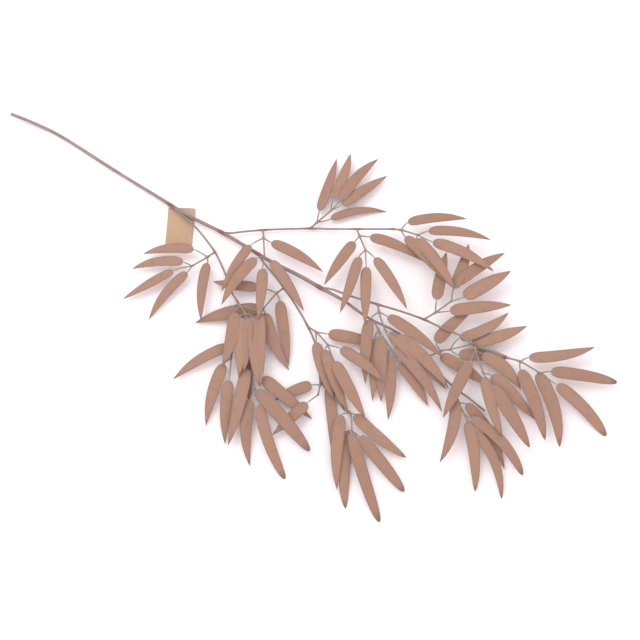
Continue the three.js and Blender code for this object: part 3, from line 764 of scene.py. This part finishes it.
class Finish:
    """A material under construction."""

    # Places of a Mix node's sockets for colours, which share their names with others
    FACTOR = 0
    UNDER = 6
    OVER = 7
    MIXED = 2

    def __init__(self, name):
        self.material = bpy.data.materials.new(name)
        self.material.use_nodes = True
        self.tree = self.material.node_tree
        self.shader = self.tree.nodes["Principled BSDF"]

    def node(self, kind, settings, inputs, output=0):
        """A new node: its settings first, then its sockets' values or links. Returns one output."""
        made = self.tree.nodes.new(kind)
        for name, value in settings.items():
            setattr(made, name, value)
        for key, value in inputs.items():
            self.feed(made.inputs[key], value)
        return Value(self, made.outputs[output])

    def feed(self, socket, value):
        if isinstance(value, Value):
            self.tree.links.new(value.socket, socket)
        else:
            socket.default_value = value

    def mark(self, name):
        """The number that the mesh holds under this name."""
        return self.node("ShaderNodeAttribute", {"attribute_name": name}, {}, "Fac")

    def noise(self, grain):
        """Cloudy noise of about 0.3 to 0.7."""
        where = self.node("ShaderNodeTexCoord", {}, {}, "Object")
        where = self.node("ShaderNodeMapping", {}, {"Vector": where, "Scale": grain.stretch})
        inputs = {"Vector": where, "Scale": grain.clouds, "Detail": grain.detail}
        return self.node("ShaderNodeTexNoise", {}, inputs)

    def ramp(self, value, low, high):
        """0 at low and 1 at high, with a smooth step between."""
        inputs = {"Value": value, "From Min": low, "From Max": high}
        return self.node("ShaderNodeMapRange", {"interpolation_type": "SMOOTHSTEP"}, inputs)

    def distance(self, value):
        """How far a number lies from 0."""
        return self.node("ShaderNodeMath", {"operation": "ABSOLUTE"}, {0: value})

    def blend(self, share, under, over):
        """One colour, with that share of the other over it."""
        inputs = {self.FACTOR: share, self.UNDER: under, self.OVER: over}
        return self.node("ShaderNodeMix", {"data_type": "RGBA"}, inputs, self.MIXED)

    def cover(self, colour, patches):
        """A colour with patches over it, each over the ones before."""
        for patch in patches:
            shown = self.ramp(self.noise(patch.grain), patch.low, patch.high) * patch.share
            colour = self.blend(shown, colour, linear(patch.colour))
        return colour

    def finish(self, colour, grain, height, touch):
        """Feeds the shader. The height is a share of the touch's relief."""
        inputs = {"Strength": RELIEF_STRENGTH, "Distance": touch.relief, "Height": height}
        self.feed(self.shader.inputs["Base Color"], colour)
        self.feed(self.shader.inputs["Roughness"], touch.roughness + grain * touch.roughening)
        self.feed(self.shader.inputs["Normal"], self.node("ShaderNodeBump", {}, inputs))
        self.feed(self.shader.inputs["Specular IOR Level"], SHEEN)
        return self.material


def leaf_finish():
    """Matt dyed blades with soft patches, darker rims and grey tips, and greyer twigs and stalks."""
    finish = Finish("dyed_leaf")
    along = finish.mark("along")
    across = finish.mark("across")
    blade = finish.cover(linear(PINK_BROWN), LEAF_PATCHES)
    blade = finish.blend(finish.mark("shade") * BLADE_SHADE_SHARE, blade, linear(BLADE_SHADE))
    rim = finish.ramp(finish.distance(across), BLADE_EDGE_START, 1)
    blade = finish.blend(rim * BLADE_EDGE_SHARE, blade, linear(BLADE_EDGE))
    blade = finish.blend(finish.ramp(along, BLADE_TIP_START, 1) * BLADE_TIP_SHARE, blade, linear(BLADE_TIP))
    twig = finish.cover(linear(TWIG_GREY), TWIG_PATCHES)
    twig = finish.blend(finish.mark("knot") * TWIG_HUB_SHARE, twig, linear(TWIG_HUB))
    colour = finish.blend(finish.mark("wood"), blade, twig)
    veins = finish.node("ShaderNodeMath", {"operation": "SINE"}, {0: across * VEIN_TURN})
    grain = finish.noise(LEAF_GRAIN)
    height = veins * VEIN_HEIGHT + grain * LEAF_GRAIN_HEIGHT
    return finish.finish(colour, grain, height, LEAF_TOUCH)


def stem_finish():
    """Mottled stems, pinkish grey and then browner, darker where something grows from them."""
    finish = Finish("dyed_stem")
    stem = finish.cover(linear(STEM_PINK), STEM_PATCHES)
    brownness = finish.ramp(finish.mark("along"), STEM_BROWN_START, STEM_BROWN_END)
    stem = finish.blend(brownness * STEM_BROWN_SHARE, stem, linear(STEM_BROWN))
    stem = finish.blend(finish.mark("greyness"), stem, linear(TWIG_GREY))
    stem = finish.blend(finish.mark("greenness"), stem, linear(STEM_GREEN))
    stem = finish.blend(finish.mark("knot") * STEM_KNOT_SHARE, stem, linear(STEM_KNOT))
    grain = finish.noise(STEM_GRAIN)
    return finish.finish(stem, grain, grain, STEM_TOUCH)


def card_finish():
    """Uncoated kraft card with short fibres, painted shade as a faint darker line along its fold, a paler
    strip beside it, and painted shade greying its upper end.
    """
    finish = Finish("kraft_card")
    across = finish.mark("across")
    strip = finish.ramp(across, TAG_CREASE, TAG_CREASE + CARD_STRIP_EDGE)
    card = finish.blend(strip, linear(CARD), linear(CARD_STRIP))
    # Painted shade in the crease: a faint darker line along the fold
    fold_shade = finish.ramp(finish.distance(across - TAG_CREASE), CARD_FOLD_SHADE_REACH, 0)
    card = finish.blend(fold_shade * CARD_FOLD_SHADE_SHARE, card, linear(CARD_FOLD_SHADE))
    # Painted shade: the card's upper end, beyond the stem, greyed and darkened
    upper_end_shade = finish.ramp(finish.mark("along"), CARD_UPPER_SHADE_START, 1)
    card = finish.blend(upper_end_shade * CARD_UPPER_SHADE_SHARE, card, linear(CARD_UPPER_SHADE))
    card = finish.cover(card, CARD_PATCHES)
    fibres = finish.noise(CARD_FIBRES)
    return finish.finish(card, fibres, fibres, CARD_TOUCH)


def make_floor():
    """A plain white surface under the branch."""
    bm = bmesh.new()
    bmesh.ops.create_grid(bm, x_segments=1, y_segments=1, size=FLOOR_HALF_WIDTH)
    bmesh.ops.translate(bm, vec=UP * -FLOOR_DROP, verts=bm.verts)
    mesh = mesh_of("white_surface", bm)
    material = bpy.data.materials.new("white_surface")
    material.use_nodes = True
    shader = material.node_tree.nodes["Principled BSDF"]
    shader.inputs["Base Color"].default_value = (FLOOR_SHADE, FLOOR_SHADE, FLOOR_SHADE, 1)
    shader.inputs["Roughness"].default_value = FLOOR_ROUGHNESS
    shader.inputs["Specular IOR Level"].default_value = 0
    mesh.materials.append(material)
    floor = add_object("white_surface", mesh)


def make_camera():
    """The photograph's camera."""
    camera = bpy.data.cameras.new("camera")
    camera.sensor_fit = "HORIZONTAL"
    camera.sensor_width = SENSOR_WIDTH
    camera.lens = SENSOR_WIDTH * LENS_LENGTH / PICTURE_SIZE
    holder = add_object("camera", camera)
    turn = Matrix((PICTURE_RIGHT, PICTURE_UP, CAMERA_BACK)).transposed()
    holder.matrix_world = Matrix.Translation(LENS) @ turn.to_4x4()
    bpy.context.scene.camera = holder


def make_light():
    """One wide soft lamp above and to the upper left of the picture, and an even pale sky."""
    away = UP.cross(PICTURE_RIGHT)
    direction = (UP - PICTURE_RIGHT * LAMP_TO_THE_LEFT + away * LAMP_TO_THE_BACK).normalized()
    lamp = bpy.data.lights.new("soft_lamp", "AREA")
    lamp.shape = "DISK"
    lamp.size = LAMP_SIZE
    lamp.energy = LAMP_POWER
    lamp.color = LAMP_COLOUR
    holder = add_object("soft_lamp", lamp)
    holder.location = AIM + direction * LAMP_DISTANCE
    holder.rotation_euler = direction.to_track_quat("Z", "Y").to_euler()
    world = bpy.data.worlds.new("pale_sky")
    world.use_nodes = True
    sky = world.node_tree.nodes["Background"]
    sky.inputs["Color"].default_value = SKY_COLOUR
    sky.inputs["Strength"].default_value = SKY_STRENGTH
    bpy.context.scene.world = world
    bpy.context.scene.view_settings.view_transform = "Standard"


leaf_material = leaf_finish()
stem_material = stem_finish()
slab = unit_blade()
for node, spray in SPRAYS.items():
    make_spray(node, spray, slab, leaf_material)
for node in STEMS:
    make_stem(node, stem_material)
make_tag(card_finish())
make_floor()
make_camera()
make_light()
